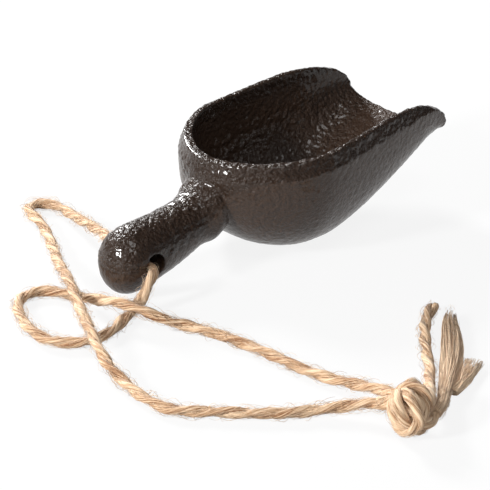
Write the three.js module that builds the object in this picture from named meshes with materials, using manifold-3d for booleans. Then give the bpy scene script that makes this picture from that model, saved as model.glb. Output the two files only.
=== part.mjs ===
// A small one-piece cast-iron scoop with a loop of jute twine through the end of its handle.
// Millimetres, +Z up, +X from the handle to the pouring lip. The scoop rests on z = 0.
// Everything is modelled from the handle's end at x = 0, and the last lines centre the casting.

import * as THREE from "three";
import { LoftGeometry } from "three/addons/geometries/LoftGeometry.js";
import { mergeVertices } from "three/addons/utils/BufferGeometryUtils.js";
import Module from "manifold-3d";

// Bowl, along the scoop
const handleLength = 35; // handle's end to the back of the bowl
const bowlLength = 80; // back of the bowl to the pouring lip
const backRounding = 27; // length of the rounded back in plan
const backExponent = 1.8; // how square that rounding is
const deepestFromBack = 33; // where the bowl is deepest
const cornerLength = 26.5; // length of the rounded-off corners at the lip

// Bowl, across and up
const bowlWidth = 54; // widest, at the parting line
const lipWidth = 43;
const narrowingExponent = 1.5; // how late the sides draw in towards the lip
const partingHeight = 27.5; // of the parting line at the back
const partingRise = 0.07; // its climb for each millimetre towards the lip
const rimAboveParting = 4.4;
const cornerDrop = 10.5; // how far the rim falls at the lip's corners
const cornerExponent = 1.8;
const lipRise = 21.5; // of the underside at the lip
const lipCurveExponent = 1.45;
const backCurveExponent = 2.2; // of the underside's back curve, in side view
const sectionExponent = 2.6; // squareness of the bowl's cross-section

// Walls
const draft = 1.7; // how far the wall leans in from the parting line to the rim
const rimWidthBack = 2.8;
const rimWidthSide = 1.8;
const floorThickness = 3;
const lipThickness = 1.8;
const innerExponent = 2.5; // squareness of the hollow's cross-section

// Handle
const handleEndWidth = 17.4;
const handleEndHeight = 19;
const neckWidth = 14.2;
const neckHeight = 15;
const neckRise = 18.5; // height of the handle's middle line where it meets the bowl
const endSlope = 0.25; // slope of the middle line at the handle's end
const neckSlope = 0.65;
const endRounding = 8; // length of the domed end
const endExponent = 2.2;
const neckInBowl = 3; // how far the middle line runs on into the bowl's wall
const neckFillet = 2; // how much the handle swells where it meets the bowl
const filletLength = 6;

// Hanging hole
const holeDiameter = 7;
const holeFromEnd = 10.8;
const holeHeight = 10.4;

// Flats that the scoop rests on: how deep the plane z = 0 cuts the casting
const bowlFlatDepth = 0.3;
const handleFlatDepth = 0.15;

// Twine
const twineDiameter = 3;
const twineSides = 8;
const strandStep = 6.8; // length of one straight step of a stretch that lies on the ground
const leadStep = 4; // and of one near the hole
const endGap = 0.3; // left between stretches that meet
const knotSize = [11.6, 17, 13]; // across the strands, along them and up
const knotPlace = [-0.5, -103.7, 6.3];
const knotTurn = -0.76; // radians about Z
const knotFlatDepth = 0.2;

// Detail of the surfaces
const stationsRound = 14; // rings of the bowl's rounded back
const stationsStraight = 16;
const sectionSteps = 12; // from the parting line to the keel
const handleRings = 16;
const handleSides = 28;
const holeSides = 32;

const wasm = await Module();
wasm.setup();

// Geometry to solid and back
function solidOf(geometry) {
  const bare = geometry.index ? geometry.toNonIndexed() : geometry.clone();
  bare.deleteAttribute("normal");
  bare.deleteAttribute("uv");
  const merged = mergeVertices(bare, 1e-4);
  return new wasm.Manifold(
    new wasm.Mesh({
      numProp: 3,
      vertProperties: new Float32Array(merged.attributes.position.array),
      triVerts: new Uint32Array(merged.index.array),
    }),
  );
}

function geometryOf(solid) {
  const mesh = solid.getMesh();
  const geometry = new THREE.BufferGeometry();
  geometry.setAttribute("position", new THREE.BufferAttribute(mesh.vertProperties, 3));
  geometry.setIndex(new THREE.BufferAttribute(mesh.triVerts, 1));
  return geometry;
}

// Shape of the bowl
const bowlEnd = handleLength + bowlLength;
const deepestAt = handleLength + deepestFromBack;
const smooth = (t) => t * t * (3 - 2 * t);
const clamp01 = (t) => Math.min(1, Math.max(0, t));

// A quarter superellipse: 0 at t = 0, level at t = 1
const quarter = (t, exponent) => (1 - (1 - clamp01(t)) ** exponent) ** (1 / exponent);

// Half of the bowl's width at x, without the back's rounding
function sideHalfWidth(x) {
  const t = clamp01((x - handleLength - backRounding) / (bowlLength - backRounding));
  return bowlWidth / 2 + (lipWidth / 2 - bowlWidth / 2) * t ** narrowingExponent;
}

// Height of the underside's lowest line at x, raised by the given floor thickness
function keelHeight(x, start, top, raise) {
  if (x < deepestAt) {
    const t = clamp01((deepestAt - x) / (deepestAt - start));
    return raise + (top - raise) * (1 - (1 - t ** backCurveExponent) ** (1 / backCurveExponent));
  }
  const t = (x - deepestAt) / (bowlEnd - deepestAt);
  return raise + lipRise * t ** lipCurveExponent;
}

const partingAt = (x) => partingHeight + partingRise * (x - handleLength);

// How far the rim and the parting line fall towards the lip's corners
function cornerFall(x) {
  const t = clamp01((x - bowlEnd + cornerLength) / cornerLength);
  return cornerDrop * (1 - (1 - t ** cornerExponent) ** (1 / cornerExponent));
}

function rimAt(x) {
  return partingAt(x) + rimAboveParting - cornerFall(x);
}

// Points down one side from the widest line to the keel and up the other, as [y, z]
function belly(halfWidth, top, bottom, exponent) {
  const points = [];
  for (let i = 0; i <= 2 * sectionSteps; i++) {
    const angle = (Math.PI * i) / (2 * sectionSteps);
    const across = Math.abs(Math.cos(angle)) ** (2 / exponent) * Math.sign(Math.cos(angle));
    const down = Math.sin(angle) ** (2 / exponent);
    points.push([-halfWidth * across, top - (top - bottom) * down]);
  }
  return points;
}

// Where the stations lie: x along the scoop and the plan's half width, drawn in by inset
function planStations(inset, overshoot) {
  const stations = [];
  const firstAngle = 0.05;
  for (let i = 0; i <= stationsRound; i++) {
    const angle = firstAngle + ((Math.PI / 2 - firstAngle) * i) / stationsRound;
    const along = 1 - Math.cos(angle) ** (2 / backExponent);
    const x = handleLength + inset + (backRounding - inset) * along;
    const share = Math.sin(angle) ** (2 / backExponent);
    stations.push({ x, half: (sideHalfWidth(x) - inset) * share });
  }
  const straight = bowlLength - backRounding + overshoot;
  for (let i = 1; i <= stationsStraight; i++) {
    const x = handleLength + backRounding + (straight * i) / stationsStraight;
    stations.push({ x, half: sideHalfWidth(x) - inset });
  }
  return stations;
}

// The bowl as if it were solid, up to its rim
function bowlOutside() {
  const parting = planStations(0, 0);
  const rim = planStations(draft, 0);
  const sections = parting.map((station, i) => {
    const top = Math.min(partingAt(station.x), rimAt(station.x) - 0.4);
    const bottom = keelHeight(station.x, handleLength, partingAt(handleLength), 0) - bowlFlatDepth;
    const ring = [
      new THREE.Vector3(rim[i].x, rim[i].half, rimAt(rim[i].x)),
      new THREE.Vector3(rim[i].x, -rim[i].half, rimAt(rim[i].x)),
    ];
    for (const [y, z] of belly(station.half, top, bottom, sectionExponent)) {
      ring.push(new THREE.Vector3(station.x, y, z));
    }
    return ring;
  });
  return solidOf(new LoftGeometry(sections, { capStart: true, capEnd: true }));
}

// The hollow that is taken out of it, standing proud of the rim and the lip
function bowlHollow() {
  const proud = 6;
  const backInset = draft + rimWidthBack;
  const start = handleLength + backInset;
  const sections = planStations(backInset, proud).map((station) => {
    const slim = smooth(clamp01((station.x - start) / backRounding));
    const half = station.half + (rimWidthBack - rimWidthSide) * slim;
    const nearLip = clamp01((station.x - deepestAt) / (bowlEnd - deepestAt));
    const thickness = floorThickness + (lipThickness - floorThickness) * nearLip;
    const top = rimAt(station.x);
    const bottom = keelHeight(station.x, start, rimAt(start), thickness);
    const ring = [
      new THREE.Vector3(station.x, half, top + proud),
      new THREE.Vector3(station.x, -half, top + proud),
    ];
    for (const [y, z] of belly(half, top, bottom, innerExponent)) {
      ring.push(new THREE.Vector3(station.x, y, z));
    }
    return ring;
  });
  return solidOf(new LoftGeometry(sections, { capStart: true, capEnd: true }));
}

// Handle: rings along a curved middle line, domed at the end and swelling into the bowl
function handleSolid() {
  const length = handleLength + neckInBowl;
  const endHeight = handleEndHeight / 2 - handleFlatDepth;
  const middle = new THREE.CubicBezierCurve(
    new THREE.Vector2(0, endHeight),
    new THREE.Vector2(length / 3, endHeight + (endSlope * length) / 3),
    new THREE.Vector2((2 * length) / 3, neckRise - (neckSlope * length) / 3),
    new THREE.Vector2(length, neckRise),
  );
  const sections = [];
  for (let i = 0; i <= handleRings; i++) {
    const x = 0.02 + (length + neckInBowl) * (i / handleRings) ** 1.6;
    const t = Math.min(1, x / length);
    const beyond = Math.max(0, x - length);
    const height = middle.getPoint(t).y + neckSlope * beyond;
    const dome = x < endRounding ? quarter(x / endRounding, endExponent) : 1;
    const slim = smooth(clamp01(t * 1.15 - 0.15));
    const swell = neckFillet * clamp01((x - handleLength + filletLength) / filletLength) ** 2;
    const halfWidth = handleEndWidth / 2 + (neckWidth / 2 - handleEndWidth / 2) * slim + swell;
    const halfHeight = handleEndHeight / 2 + (neckHeight / 2 - handleEndHeight / 2) * slim + swell;
    const ring = [];
    for (let k = 0; k < handleSides; k++) {
      const angle = (2 * Math.PI * k) / handleSides;
      const y = halfWidth * dome * Math.cos(angle);
      ring.push(new THREE.Vector3(x, y, height + halfHeight * dome * Math.sin(angle)));
    }
    sections.push(ring);
  }
  return solidOf(new LoftGeometry(sections, { capStart: true, capEnd: true }));
}

function hangingHole() {
  const drill = new THREE.CylinderGeometry(
    holeDiameter / 2,
    holeDiameter / 2,
    2 * handleEndWidth,
    holeSides,
  );
  return solidOf(drill.translate(holeFromEnd, 0, holeHeight));
}

// Everything below the ground plane, for the flats
function belowGround() {
  const size = 600;
  return solidOf(new THREE.BoxGeometry(size, size, size).translate(0, 0, -size / 2));
}

function scoopCasting() {
  const body = bowlOutside().add(handleSolid()).subtract(bowlHollow());
  return body.subtract(hangingHole()).subtract(belowGround());
}

// The twine's route, counted from the middle of the hanging hole: x, y, and height above the ground.
// First the strand that leaves on the near side, then the one that leaves on the far side.
const nearRoute = [
  [0, 0, 9.4],
  [-0.8, -4.5, 9.6],
  [-1.7, -8.6, 9.9],
  [-3.8, -10.9, 9.6],
  [-5.9, -11.6, 8.2],
  [-7.2, -11.7, 6.4],
  [-8.5, -11.6, 4.6],
  [-10.3, -11.5, 3],
  [-12.8, -11.8, 2],
  [-16.2, -12.8, 1.7],
  [-21, -14.8, 1.7],
  [-26.5, -15.8, 1.7],
  [-31.1, -15, 1.7],
  [-34.7, -12.9, 1.7],
  [-37.3, -9.4, 1.7],
  [-38.4, -4.9, 1.7],
  [-37.7, 1, 1.7],
  [-35.3, 7.6, 1.7],
  [-31.9, 13.2, 1.7],
  [-27.3, 16.4, 1.7],
  [-22.9, 16, 1.7],
  [-19.7, 13, 1.7],
  [-17.5, 8.3, 1.7],
  [-16.3, 2.6, 2.3],
  [-15.5, -4.2, 4],
  [-14.8, -10.8, 5.3],
  [-13.5, -16.2, 5.3],
  [-11.5, -20.4, 4.2],
  [-9, -23.8, 2.8],
  [-6.5, -27, 1.9],
  [-4.5, -32.6, 1.7],
  [-2.7, -40.4, 1.7],
  [-1.5, -48.9, 1.7],
  [-0.7, -57.3, 1.7],
  [-0.1, -66, 1.7],
  [1.4, -73.8, 1.7],
  [2.9, -80.1, 2.2],
  [3.2, -86.5, 3.6],
  [2.8, -92, 5],
  [1.6, -98, 6],
];
const farRoute = [
  [0, 0, 9.4],
  [0.4, 4.5, 9.4],
  [1.4, 8.8, 9.3],
  [3.4, 14, 8.7],
  [5.6, 19, 7.7],
  [7.8, 24, 6.6],
  [9.8, 29.4, 5.4],
  [11.6, 35.2, 4.3],
  [13.3, 41.6, 3.2],
  [15, 47.6, 2.3],
  [16, 52, 1.8],
  [15.6, 56.2, 1.7],
  [13, 59.3, 1.7],
  [9.4, 59, 1.7],
  [7.2, 55.8, 1.7],
  [6.2, 51.4, 1.7],
  [4.3, 46.2, 1.7],
  [0.7, 39.2, 1.7],
  [-3.5, 32, 2],
  [-8.1, 24.6, 2.8],
  [-12.7, 16.6, 4.3],
  [-16.9, 9, 5.5],
  [-21.3, 1.2, 5.4],
  [-25.7, -6.6, 5.2],
  [-29.9, -14.4, 5.4],
  [-33.7, -21.8, 5.1],
  [-36.2, -27.4, 4.2],
  [-37.5, -32, 3.1],
  [-38.3, -37, 2.2],
  [-39.3, -43.2, 1.7],
  [-39.9, -50, 1.7],
  [-39.1, -56, 1.7],
  [-35.9, -61, 1.7],
  [-31.6, -65.4, 1.7],
  [-27.6, -70, 1.7],
  [-23.1, -74.8, 1.7],
  [-18.2, -79.2, 1.8],
  [-12.9, -83, 2],
  [-8.1, -86.8, 2.6],
  [-4.7, -90.4, 3.6],
  [-2.5, -94.6, 4.6],
  [-1.2, -99, 5.4],
];
const cutTailRoute = [
  [5.5, -102.8, 6.8],
  [9.5, -100.3, 5.8],
  [14.4, -96.6, 3.8],
  [19, -92.6, 2.2],
  [23.9, -88.3, 1.7],
  [28.1, -83.6, 1.7],
  [32.1, -79.4, 1.7],
  [37, -74.6, 1.7],
  [41.2, -71, 1.7],
  [45.4, -68.2, 1.7],
  [50.2, -65.8, 1.7],
];
const frayedTailRoute = [
  [4.5, -107.6, 4.4],
  [9.5, -105.2, 3.8],
  [15.5, -100.9, 2.7],
  [23.5, -95, 2],
  [32.1, -88.7, 1.7],
  [40.2, -81.5, 1.7],
  [46.1, -75.6, 1.7],
  [51.4, -71.2, 1.7],
];
const splitPlyRoute = [
  [19, -100.6, 1.8],
  [23.5, -99.2, 1.6],
  [28.2, -97, 1.5],
  [32.6, -94.8, 1.5],
  [36.6, -93.1, 1.5],
];

function curveThrough(route) {
  const points = route.map(([x, y, z]) => new THREE.Vector3(holeFromEnd + x, y, z));
  return new THREE.CatmullRomCurve3(points, false, "centripetal");
}

// A stretch of a curve, from one length along it to another
class Stretch extends THREE.Curve {
  constructor(curve, from, to) {
    super();
    this.curve = curve;
    this.from = from / curve.getLength();
    this.to = to / curve.getLength();
  }
  getPoint(t) {
    return this.curve.getPointAt(this.from + (this.to - this.from) * t);
  }
}

function twineTube(curve, from, to, step) {
  const section = new THREE.Shape();
  for (let i = 0; i < twineSides; i++) {
    const angle = (2 * Math.PI * (i + 0.5)) / twineSides;
    const x = (twineDiameter / 2) * Math.cos(angle);
    const y = (twineDiameter / 2) * Math.sin(angle);
    if (i === 0) section.moveTo(x, y);
    else section.lineTo(x, y);
  }
  section.closePath();
  const path = new Stretch(curve, from, to);
  const steps = Math.max(2, Math.round((to - from) / step));
  return solidOf(new THREE.ExtrudeGeometry(section, { steps, extrudePath: path }));
}

// A flat tapering tuft of loose fibres, lofted along a route from one width and thickness to others
function tuft(route, widths, thicknesses) {
  const curve = curveThrough(route);
  const rings = 7;
  const sides = 10;
  const sections = [];
  for (let i = 0; i <= rings; i++) {
    const share = i / rings;
    const middle = curve.getPointAt(share);
    const along = curve.getTangentAt(share);
    const across = new THREE.Vector3(-along.y, along.x, 0).normalize();
    const up = new THREE.Vector3().crossVectors(along, across);
    const place = share * (widths.length - 1);
    const low = Math.min(widths.length - 2, Math.floor(place));
    const width = THREE.MathUtils.lerp(widths[low], widths[low + 1], place - low);
    const thick = THREE.MathUtils.lerp(thicknesses[low], thicknesses[low + 1], place - low);
    const ring = [];
    for (let k = 0; k < sides; k++) {
      const angle = (2 * Math.PI * k) / sides;
      const point = middle.clone().addScaledVector(across, (width / 2) * Math.cos(angle));
      ring.push(point.addScaledVector(up, (thick / 2) * Math.sin(angle)));
    }
    sections.push(ring);
  }
  return solidOf(new LoftGeometry(sections, { capStart: true, capEnd: true }));
}

// The knot's outer shape, swollen by a clearance where it is used to cut what meets it
function knotShape(swell) {
  const ball = new THREE.SphereGeometry(0.5, 20, 14).rotateX(Math.PI / 2);
  const grown = knotSize.map((size) => size + 2 * swell);
  ball.scale(grown[0], grown[1], grown[2]).rotateZ(knotTurn);
  ball.translate(holeFromEnd + knotPlace[0], knotPlace[1], knotPlace[2]);
  return solidOf(ball).subtract(belowGround());
}

// Colours and finishes
const iron = { color: 0x2a2421, roughness: 0.5, metalness: 0.6 };
const jute = { color: 0xc8a378, roughness: 0.95, metalness: 0 };

const scoop = new THREE.Group();

function addPiece(name, solid, finish) {
  const mesh = new THREE.Mesh(geometryOf(solid), new THREE.MeshStandardMaterial(finish));
  mesh.name = name;
  scoop.add(mesh);
}

addPiece("scoop_casting", scoopCasting(), iron);

// The twine is one length from the knot along the far side, through the hole and back to the knot
const twine = curveThrough([...farRoute.slice(1).reverse(), ...nearRoute]);
const fineness = 25; // lengths measured for each point of the route
const twineLengths = twine.getLengths(fineness * (farRoute.length + nearRoute.length - 2));
const twineLength = twineLengths.at(-1);
const holeMiddle = twineLengths[fineness * (farRoute.length - 1)];
twine.arcLengthDivisions = twineLengths.length - 1;

// Where its nodes meet, as lengths along it counted from the middle of the hole
const mouth = 8.9;
const nearLeadEnd = 22.5;
const farLeadEnd = 31.5;
const knotClear = knotShape(endGap);

function addStretch(name, from, to, step) {
  const start = holeMiddle + from + endGap / 2;
  addPiece(name, twineTube(twine, start, holeMiddle + to - endGap / 2, step), jute);
}

function addStrand(name, from, to) {
  addPiece(name, twineTube(twine, from, to, strandStep).subtract(knotClear), jute);
}

addStretch("twine_hole_run", -mouth, mouth, leadStep);
addStretch("twine_near_lead", mouth, nearLeadEnd, leadStep);
addStretch("twine_far_lead", -farLeadEnd, -mouth, leadStep);
addStrand("twine_near_strand", holeMiddle + nearLeadEnd + endGap / 2, twineLength);
addStrand("twine_far_strand", 0, holeMiddle - farLeadEnd - endGap / 2);
addPiece("twine_knot", knotShape(0), jute);

const cutTail = curveThrough(cutTailRoute);
const cutTailSolid = twineTube(cutTail, 0, cutTail.getLength(), strandStep);
addPiece("twine_cut_tail", cutTailSolid.subtract(knotClear), jute);
const tuftWidths = [3.6, 4.4, 6, 5, 1.6];
const tuftThicknesses = [3, 2.8, 2.6, 2, 1];
const frayedTail = tuft(frayedTailRoute, tuftWidths, tuftThicknesses);
addPiece("twine_frayed_tail", frayedTail.subtract(knotClear), jute);
const tuftClear = tuft(
  frayedTailRoute,
  tuftWidths.map((width) => width + 2 * endGap),
  tuftThicknesses.map((thickness) => thickness + 2 * endGap),
);
const splitPly = tuft(splitPlyRoute, [2.4, 4, 6], [2, 2, 1.6]);
addPiece("twine_split_ply", splitPly.subtract(tuftClear), jute);

// The frame's origin is under the middle of the casting
scoop.position.x = -(handleLength + bowlLength) / 2;

export default scoop;
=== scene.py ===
"""A small cast iron scoop with a hanging loop of jute twine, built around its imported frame, in metres."""

import math
import random

import bmesh
import bpy
import numpy as np
from bpy.props import FloatProperty, FloatVectorProperty, IntProperty, PointerProperty
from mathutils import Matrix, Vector, noise


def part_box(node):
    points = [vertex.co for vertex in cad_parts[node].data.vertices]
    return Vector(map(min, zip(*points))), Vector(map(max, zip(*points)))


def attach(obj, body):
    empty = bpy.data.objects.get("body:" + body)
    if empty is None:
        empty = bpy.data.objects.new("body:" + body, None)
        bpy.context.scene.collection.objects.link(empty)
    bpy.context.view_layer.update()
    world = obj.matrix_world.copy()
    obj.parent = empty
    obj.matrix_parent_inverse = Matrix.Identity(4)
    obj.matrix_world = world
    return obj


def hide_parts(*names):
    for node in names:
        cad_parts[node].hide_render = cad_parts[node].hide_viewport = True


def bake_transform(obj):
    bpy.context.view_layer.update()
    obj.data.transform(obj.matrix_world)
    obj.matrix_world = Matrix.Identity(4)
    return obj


bl_info = {
    "name": "Cast Iron Scoop",
    "version": (1, 0, 0),
    "blender": (4, 5, 0),
    "location": "3D View > Sidebar > Scoop",
    "description": "Makes a small cast iron scoop with a jute hanging loop",
    "category": "Add Mesh",
}

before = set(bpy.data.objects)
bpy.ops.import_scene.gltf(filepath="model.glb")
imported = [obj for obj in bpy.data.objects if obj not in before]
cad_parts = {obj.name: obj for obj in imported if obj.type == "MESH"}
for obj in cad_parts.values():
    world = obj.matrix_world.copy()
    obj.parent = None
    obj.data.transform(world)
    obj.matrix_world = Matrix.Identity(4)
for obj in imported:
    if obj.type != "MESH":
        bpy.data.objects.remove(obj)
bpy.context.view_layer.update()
CASTING_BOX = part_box("scoop_casting")

# The middle of the hanging hole, on the ground under it
HOLE = (-0.0467, 0.0, 0.0)
HOLE_HEIGHT = 0.0104

# The twine's route from the middle of the hole to the knot, counted from HOLE
NEAR_ROUTE = [
    (0.0, 0.0, 0.0094),
    (-0.0008, -0.0045, 0.0096),
    (-0.0017, -0.0086, 0.0099),
    (-0.0038, -0.0109, 0.0096),
    (-0.0059, -0.0116, 0.0082),
    (-0.0072, -0.0117, 0.0064),
    (-0.0085, -0.0116, 0.0046),
    (-0.0103, -0.0115, 0.003),
    (-0.0128, -0.0118, 0.002),
    (-0.0162, -0.0128, 0.0017),
    (-0.021, -0.0148, 0.0017),
    (-0.0265, -0.0158, 0.0017),
    (-0.0311, -0.015, 0.0017),
    (-0.0347, -0.0129, 0.0017),
    (-0.0373, -0.0094, 0.0017),
    (-0.0384, -0.0049, 0.0017),
    (-0.0377, 0.001, 0.0017),
    (-0.0353, 0.0076, 0.0017),
    (-0.0319, 0.0132, 0.0017),
    (-0.0273, 0.0164, 0.0017),
    (-0.0229, 0.016, 0.0017),
    (-0.0197, 0.013, 0.0017),
    (-0.0175, 0.0083, 0.0017),
    (-0.0163, 0.0026, 0.0023),
    (-0.0155, -0.0042, 0.004),
    (-0.0148, -0.0108, 0.0053),
    (-0.0135, -0.0162, 0.0053),
    (-0.0115, -0.0204, 0.0042),
    (-0.009, -0.0238, 0.0028),
    (-0.0065, -0.027, 0.0019),
    (-0.0045, -0.0326, 0.0017),
    (-0.0027, -0.0404, 0.0017),
    (-0.0015, -0.0489, 0.0017),
    (-0.0007, -0.0573, 0.0017),
    (-0.0001, -0.066, 0.0017),
    (0.0014, -0.0738, 0.0017),
    (0.0029, -0.0801, 0.0022),
    (0.0032, -0.0865, 0.0036),
    (0.0028, -0.092, 0.005),
    (0.0016, -0.098, 0.006),
]
FAR_ROUTE = [
    (0.0, 0.0, 0.0094),
    (0.0004, 0.0045, 0.0094),
    (0.0014, 0.0088, 0.0093),
    (0.0034, 0.014, 0.0087),
    (0.0056, 0.019, 0.0077),
    (0.0078, 0.024, 0.0066),
    (0.0098, 0.0294, 0.0054),
    (0.0116, 0.0352, 0.0043),
    (0.0133, 0.0416, 0.0032),
    (0.015, 0.0476, 0.0023),
    (0.016, 0.052, 0.0018),
    (0.0156, 0.0562, 0.0017),
    (0.013, 0.0593, 0.0017),
    (0.0094, 0.059, 0.0017),
    (0.0072, 0.0558, 0.0017),
    (0.0062, 0.0514, 0.0017),
    (0.0043, 0.0462, 0.0017),
    (0.0007, 0.0392, 0.0017),
    (-0.0035, 0.032, 0.002),
    (-0.0081, 0.0246, 0.0028),
    (-0.0127, 0.0166, 0.0043),
    (-0.0169, 0.009, 0.0055),
    (-0.0213, 0.0012, 0.0054),
    (-0.0257, -0.0066, 0.0052),
    (-0.0299, -0.0144, 0.0054),
    (-0.0337, -0.0218, 0.0051),
    (-0.0362, -0.0274, 0.0042),
    (-0.0375, -0.032, 0.0031),
    (-0.0383, -0.037, 0.0022),
    (-0.0393, -0.0432, 0.0017),
    (-0.0399, -0.05, 0.0017),
    (-0.0391, -0.056, 0.0017),
    (-0.0359, -0.061, 0.0017),
    (-0.0316, -0.0654, 0.0017),
    (-0.0276, -0.07, 0.0017),
    (-0.0231, -0.0748, 0.0017),
    (-0.0182, -0.0792, 0.0018),
    (-0.0129, -0.083, 0.002),
    (-0.0081, -0.0868, 0.0026),
    (-0.0047, -0.0904, 0.0036),
    (-0.0025, -0.0946, 0.0046),
    (-0.0012, -0.099, 0.0054),
]
CUT_TAIL_ROUTE = [
    (0.0055, -0.1028, 0.0068),
    (0.0095, -0.1003, 0.0058),
    (0.0144, -0.0966, 0.0038),
    (0.019, -0.0926, 0.0022),
    (0.0239, -0.0883, 0.0017),
    (0.0281, -0.0836, 0.0017),
    (0.0321, -0.0794, 0.0017),
    (0.037, -0.0746, 0.0017),
    (0.0412, -0.071, 0.0017),
    (0.0454, -0.0682, 0.0017),
    (0.0502, -0.0658, 0.0017),
]
FRAYED_TAIL_ROUTE = [
    (0.0045, -0.1076, 0.0044),
    (0.0095, -0.1052, 0.0038),
    (0.0155, -0.1009, 0.0027),
    (0.0235, -0.095, 0.002),
    (0.0321, -0.0887, 0.0017),
    (0.0402, -0.0815, 0.0017),
    (0.0461, -0.0756, 0.0017),
    (0.0514, -0.0712, 0.0017),
]
SPLIT_PLY_ROUTE = [
    (0.019, -0.1006, 0.0018),
    (0.0235, -0.0992, 0.0016),
    (0.0282, -0.097, 0.0015),
    (0.0326, -0.0948, 0.0015),
    (0.0366, -0.0931, 0.0015),
]

# The knot's middle, counted from HOLE, and the ground directions beside and away from the view
KNOT_MIDDLE = (-0.0005, -0.1037, 0.0063)
ACROSS = np.array((0.72, -0.69, 0.0))
AWAY = np.array((0.69, 0.72, 0.0))
UP = np.array((0.0, 0.0, 1.0))

# The knot's wraps, each from a strand to its tail, and the filling that lies under them, in
# millimetres across, away and up from the knot's middle
NEAR_WRAP = [
    (-0.5, 4.8, 0.5),
    (-2.6, 1.5, 3.2),
    (-3.6, -3.2, 3.2),
    (-1.4, -5.2, -0.8),
    (2.2, -3.4, -4.2),
    (3.9, 1.2, -2.8),
    (3.3, 4.2, 1.4),
    (0.4, 4.6, 4.4),
    (-2.8, 2.2, 2.6),
    (-3.9, 0.4, -1.8),
    (-1.2, -1.6, -3.9),
    (2.8, -2.6, -0.6),
    (4.4, -0.8, 1.4),
]
FAR_WRAP = [
    (-2.6, 3.6, 1.2),
    (-1.2, -0.4, 4.5),
    (0.6, -4.6, 3.4),
    (1.6, -6.4, -0.6),
    (-1.4, -4.6, -4.1),
    (-3.9, -0.8, -3.0),
    (-4.1, 2.4, 0.4),
    (-1.4, 3.2, 4.3),
    (2.4, 1.6, 4.3),
    (4.3, -1.6, 1.6),
    (2.6, -4.2, -1.6),
    (3.9, -4.0, -2.0),
]
KNOT_FILLING = [(-1.5, 4.0, -0.6), (0.2, 0, 0.2), (1.6, -4.6, 0)]
FILLING_RADIUS = 0.0042

# The twine's plies: shares of its diameter, and their unevenness, with rates in radians a metre
TWINE_STEP = 0.0004
FLOOR_GAP = 0.0001
PLY_RADIUS = 0.325
PLY_OFFSET = 0.185
PLY_SIDES = 18
PLY_FIBRES = {"ridges": 6, "twist": 260.0, "ridge_depth": 0.07}
PLY_WOBBLE = 0.00006
PLY_WOBBLE_RATE = 900
PLY_WOBBLE_SHIFT = 2.1
PLY_SWELLS = ((0.06, 420, 1.7), (0.04, 1130, 0.0))
LOOSER_LAY = 0.22
LOOSER_LAY_RATE = 75
LOOSER_LAY_START = 0.35
RIDGE_WANDER = 9.0
RIDGE_WANDER_RATE = 160
FILLING_SIDES = 28
FILLING_FIBRES = {"ridges": 11, "twist": 150.0, "ridge_depth": 0.05}

# Where each tube's fibres lie in the jute's streaks
FIBRE_STRETCH = 40
FIBRE_SHIFT = 3.7

# The loose fibres on the twine: they start a little under its surface, lift off and sink back in
STRAY_POINTS = 6
STRAY_SIDES = 3
STRAY_SHORTEST = 0.0015
STRAY_TURN = 1.2
STRAY_START = 0.92
STRAY_SINKING = 0.1
STRAY_LOWNESS = 2.2
STRAY_THICKNESS = (0.00003, 0.00007)
STRAY_TAPER = 0.5
STRAY_TINTS = (0.1, 2.0)

# The frayed tufts' fibres
TUFT_STEP = 0.0005
TUFT_SIDES = 4
TUFT_THICKNESS = (0.00009, 0.0002)
TUFT_TAPER = 0.45
TUFT_TINTS = (0.3, 1.8)
TUFT_WAVE = 0.00025
TUFT_WAVE_RATES = (5, 14)
TUFT_WAVE_STARTS = (0, 6)
TUFT_SHORTENING = 0.45
TUFT_EVENNESS = 1.7

# The pieces of the knot and its tails, listed with the near side's strand
TAILS = ("twine_knot_wraps", "twine_cut_end", "twine_frayed_end", "twine_split_fibres")

# The bowl
BACK_ROUNDING = 0.027
BACK_EXPONENT = 1.8
DEEPEST_FROM_BACK = 0.033
KEEL_ROUNDNESS = 2.2
CORNER_LENGTH = 0.0265
CORNER_ROUNDNESS = 1.8
CORNER_DROP = 0.0105
PARTING_HEIGHT = 0.0275
PARTING_RISE = 0.07
RIM_ABOVE_PARTING = 0.0044
RIM_LEDGE = 0.0004
RIM_BACK = 0.0028
RIM_SIDE = 0.0018
DRAFT = 0.0017
LIP_RISE = 0.0215
LIP_CURVE = 1.45
LIP_TAPER = 1.5
LIP_THICKNESS = 0.0018
BOWL_FLAT = 0.0003
OUTSIDE_ROUNDNESS = 2.6
HOLLOW_ROUNDNESS = 2.5
BACK_STATIONS = 36
BACK_FIRST_ANGLE = 0.04
STRAIGHT_STATIONS = 50
BELLY_POINTS = 65
OVERSHOOT = 0.006

# The handle, in half sizes across and up at its end and at its neck
END_HALF_SIZES = (0.0087, 0.0095)
NECK_HALF_SIZES = (0.0071, 0.0075)
END_HEIGHT = 0.00935
END_SLOPE = 0.25
NECK_HEIGHT = 0.0185
NECK_SLOPE = 0.65
NECK_SWELL = 0.002
NECK_SWELL_LENGTH = 0.006
INTO_BOWL = 0.003
DOME_LENGTH = 0.008
DOME_ROUNDNESS = 2.2
SLIM_RATE = 1.15
SLIM_DELAY = 0.15
HANDLE_STATIONS = 60
HANDLE_TIP = 0.00002
HANDLE_CROWDING = 1.6
HANDLE_SIDES = 64
DRILL_SIDES = 48
DRILL_REACH = 0.02

# The cast grain: each layer has its shift, size and share
GRAIN_LAYERS = ((0.0, 0.0016, 1.0), (0.31, 0.0009, 0.8), (0.7, 0.0065, 0.6))
SMOOTHER_BELOW = 0.55
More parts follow.
